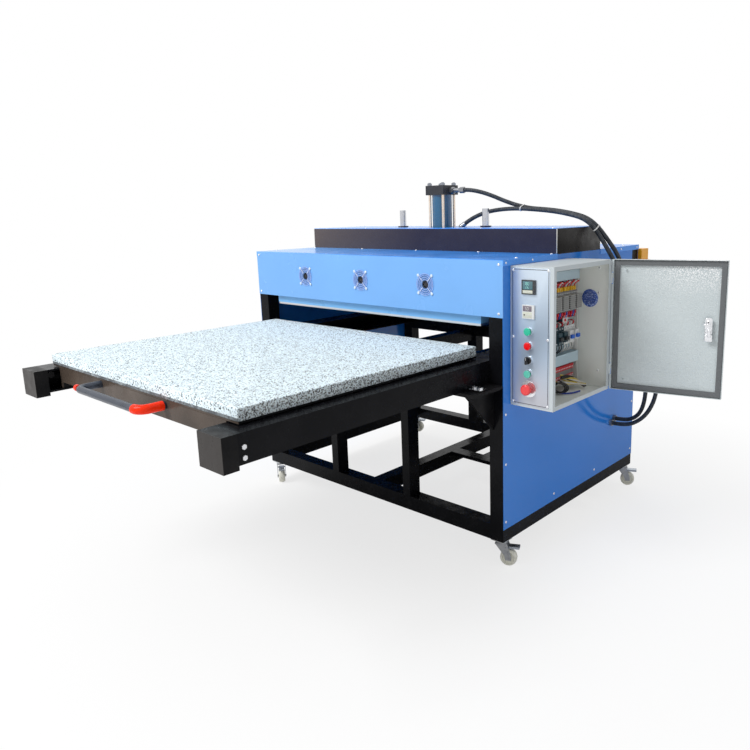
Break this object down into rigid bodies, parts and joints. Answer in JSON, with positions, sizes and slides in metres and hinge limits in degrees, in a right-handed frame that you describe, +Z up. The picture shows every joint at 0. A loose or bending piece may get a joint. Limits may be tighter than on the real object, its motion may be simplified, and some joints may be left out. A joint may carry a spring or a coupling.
{
  "type": "hydraulic heat press",
  "caption": "Large hydraulic heat press with a sliding felt table on channels, a heated platen in a sheet hood, a tie rod cylinder and a side cabinet.",
  "frame": {"origin": "middle of the machine's bounding box at floor level, without the hoses", "axes": "+X to the right seen from the front, where the cabinet is; +Y from the table's handle to the back; +Z up"},
  "size_m": [2.0128, 2.2265, 1.45],
  "materials": {
    "black_paint": "gloss",
    "blue_paint": "gloss",
    "barrel_blue": "gloss",
    "felt": "white felt with grey and black speckles",
    "plate_aluminium": "satin",
    "ground_steel": "ground",
    "zinc": "zinc plated",
    "chrome_steel": "hard chrome",
    "hose_rubber": "matt, fine ribs",
    "cabinet_grey": "textured",
    "seal_rubber": "matt",
    "black_plastic": "matt",
    "grip_red": "gloss",
    "green_plastic": "gloss",
    "red_plastic": "gloss",
    "orange_paint": "gloss",
    "nylon": "satin cream"
  },
  "bodies": {
    "machine": {"frame_posts": "black_paint", "base_rails": "black_paint", "upper_frame": "black_paint", "drawer_rails": "black_paint", "rail_ends": "black_paint", "press_beams": "black_paint", "top_panels": "blue_paint", "hood_front_panel": "blue_paint", "side_panels": "blue_paint", "back_panel": "blue_paint", "hood_fans": "black_plastic", "cylinder_barrel": "barrel_blue", "cylinder_caps": "black_paint", "tie_rods": "zinc", "hydraulic_tank": "black_paint", "pump_motor": "cabinet_grey", "hose_one": "hose_rubber", "hose_two": "hose_rubber", "hose_fittings": "zinc", "control_box": "cabinet_grey", "mounting_plate": "cabinet_grey", "switchgear": "black_plastic", "control_wires": "red_plastic", "panel_fittings": "black_plastic", "junction_box": "orange_paint", "screws": "zinc", "caster_plates": "zinc"},
    "platen": {"heat_plate": "plate_aluminium", "platen_cover": "blue_paint", "platen_frame": "black_paint", "platen_rods": "chrome_steel"},
    "table": {"table_frame": "black_paint", "table_pad": "felt", "handle": "black_paint", "handle_grips": "grip_red"},
    "front_rollers": {"wheelset_front": "ground_steel"},
    "back_rollers": {"wheelset_back": "ground_steel"},
    "cabinet_door": {"door": "cabinet_grey", "door_gasket": "seal_rubber"},
    "lock": {"door_lock": "chrome_steel"},
    "green_button_upper_cap": {"green_button_upper": "green_plastic"},
    "red_button_cap": {"red_button": "red_plastic"},
    "green_button_lower_cap": {"green_button_lower": "green_plastic"},
    "selector": {"selector_knob": "black_plastic"},
    "stop_head": {"emergency_stop": "red_plastic"},
    "rotor_left": {"fan_rotor_left": "black_plastic"},
    "rotor_middle": {"fan_rotor_middle": "black_plastic"},
    "rotor_right": {"fan_rotor_right": "black_plastic"},
    "fork_front_left": {"caster_fork_front_left": "zinc"},
    "wheel_front_left": {"caster_wheel_front_left": "nylon"},
    "pedal_front_left": {"caster_pedal_front_left": "black_plastic"},
    "fork_front_right": {"caster_fork_front_right": "zinc"},
    "wheel_front_right": {"caster_wheel_front_right": "nylon"},
    "pedal_front_right": {"caster_pedal_front_right": "black_plastic"},
    "fork_back_left": {"caster_fork_back_left": "zinc"},
    "wheel_back_left": {"caster_wheel_back_left": "nylon"},
    "pedal_back_left": {"caster_pedal_back_left": "black_plastic"},
    "fork_back_right": {"caster_fork_back_right": "zinc"},
    "wheel_back_right": {"caster_wheel_back_right": "nylon"},
    "pedal_back_right": {"caster_pedal_back_right": "black_plastic"}
  },
  "joints": [
    {"name": "platen_slide", "type": "slide", "parent": "machine", "child": "platen", "axis": [0, 0, -1], "range_m": [0, 0.07]},
    {"name": "table_slide", "type": "slide", "parent": "machine", "child": "table", "axis": [0, 1, 0], "range_m": [0, 1.027]},
    {"name": "front_rollers_spin", "type": "hinge", "parent": "table", "child": "front_rollers", "pos_m": [-0.28486, -0.91075, 0.7503], "axis": [1, 0, 0], "continuous": true},
    {"name": "back_rollers_spin", "type": "hinge", "parent": "table", "child": "back_rollers", "pos_m": [-0.28486, -0.14075, 0.7503], "axis": [1, 0, 0], "continuous": true},
    {"name": "door_hinge", "type": "hinge", "parent": "machine", "child": "cabinet_door", "pos_m": [0.60829, 0.43425, 0.882], "axis": [0, 0, 1], "range_deg": [-102, 20]},
    {"name": "lock_turn", "type": "hinge", "parent": "cabinet_door", "child": "lock", "pos_m": [0.95256, 0.50758, 0.882], "axis": [-0.2079, 0.9781, 0], "range_deg": [0, 90]},
    {"name": "green_button_upper_press", "type": "slide", "parent": "machine", "child": "green_button_upper_cap", "axis": [0, 1, 0], "range_m": [0, 0.004], "stiffness_N_per_m": 400},
    {"name": "red_button_press", "type": "slide", "parent": "machine", "child": "red_button_cap", "axis": [0, 1, 0], "range_m": [0, 0.004], "stiffness_N_per_m": 400},
    {"name": "green_button_lower_press", "type": "slide", "parent": "machine", "child": "green_button_lower_cap", "axis": [0, 1, 0], "range_m": [0, 0.004], "stiffness_N_per_m": 400},
    {"name": "selector_turn", "type": "hinge", "parent": "machine", "child": "selector", "pos_m": [0.51014, 0.02425, 0.805], "axis": [0, 1, 0], "range_deg": [-45, 45]},
    {"name": "stop_press", "type": "slide", "parent": "machine", "child": "stop_head", "axis": [0, 1, 0], "range_m": [0, 0.006]},
    {"name": "fan_spin_left", "type": "hinge", "parent": "machine", "child": "rotor_left", "pos_m": [-0.64286, -0.00875, 1.052], "axis": [0, 1, 0], "continuous": true},
    {"name": "fan_spin_middle", "type": "hinge", "parent": "machine", "child": "rotor_middle", "pos_m": [-0.28486, -0.00875, 1.052], "axis": [0, 1, 0], "continuous": true},
    {"name": "fan_spin_right", "type": "hinge", "parent": "machine", "child": "rotor_right", "pos_m": [0.07314, -0.00875, 1.052], "axis": [0, 1, 0], "continuous": true},
    {"name": "swivel_front_left", "type": "hinge", "parent": "machine", "child": "fork_front_left", "pos_m": [-0.96986, 0.00925, 0.096], "axis": [0, 0, 1], "continuous": true},
    {"name": "roll_front_left", "type": "hinge", "parent": "fork_front_left", "child": "wheel_front_left", "pos_m": [-0.94693, -0.00681, 0.0325], "axis": [0.5736, 0.8192, 0], "continuous": true},
    {"name": "brake_front_left", "type": "hinge", "parent": "fork_front_left", "child": "pedal_front_left", "pos_m": [-0.95184, -0.00337, 0.076], "axis": [0.5736, 0.8192, 0], "range_deg": [0, 12]},
    {"name": "swivel_front_right", "type": "hinge", "parent": "machine", "child": "fork_front_right", "pos_m": [0.40014, 0.00925, 0.096], "axis": [0, 0, 1], "continuous": true},
    {"name": "roll_front_right", "type": "hinge", "parent": "fork_front_right", "child": "wheel_front_right", "pos_m": [0.42541, 0.0213, 0.0325], "axis": [-0.4305, 0.9026, 0], "continuous": true},
    {"name": "brake_front_right", "type": "hinge", "parent": "fork_front_right", "child": "pedal_front_right", "pos_m": [0.41999, 0.01872, 0.076], "axis": [-0.4305, 0.9026, 0], "range_deg": [0, 12]},
    {"name": "swivel_back_left", "type": "hinge", "parent": "machine", "child": "fork_back_left", "pos_m": [-0.96986, 1.00425, 0.096], "axis": [0, 0, 1], "continuous": true},
    {"name": "roll_back_left", "type": "hinge", "parent": "fork_back_left", "child": "wheel_back_left", "pos_m": [-0.94355, 1.01383, 0.0325], "axis": [-0.342, 0.9397, 0], "continuous": true},
    {"name": "brake_back_left", "type": "hinge", "parent": "fork_back_left", "child": "pedal_back_left", "pos_m": [-0.94919, 1.01177, 0.076], "axis": [-0.342, 0.9397, 0], "range_deg": [0, 12]},
    {"name": "swivel_back_right", "type": "hinge", "parent": "machine", "child": "fork_back_right", "pos_m": [0.40014, 1.00425, 0.096], "axis": [0, 0, 1], "continuous": true},
    {"name": "roll_back_right", "type": "hinge", "parent": "fork_back_right", "child": "wheel_back_right", "pos_m": [0.42541, 1.0163, 0.0325], "axis": [-0.4305, 0.9026, 0], "continuous": true},
    {"name": "brake_back_right", "type": "hinge", "parent": "fork_back_right", "child": "pedal_back_right", "pos_m": [0.41999, 1.01372, 0.076], "axis": [-0.4305, 0.9026, 0], "range_deg": [0, 12]}
  ],
  "couplings": [
    {"joint": "front_rollers_spin", "follows": "table_slide", "rad_per_m": -30.303},
    {"joint": "back_rollers_spin", "follows": "table_slide", "rad_per_m": -30.303}
  ]
}
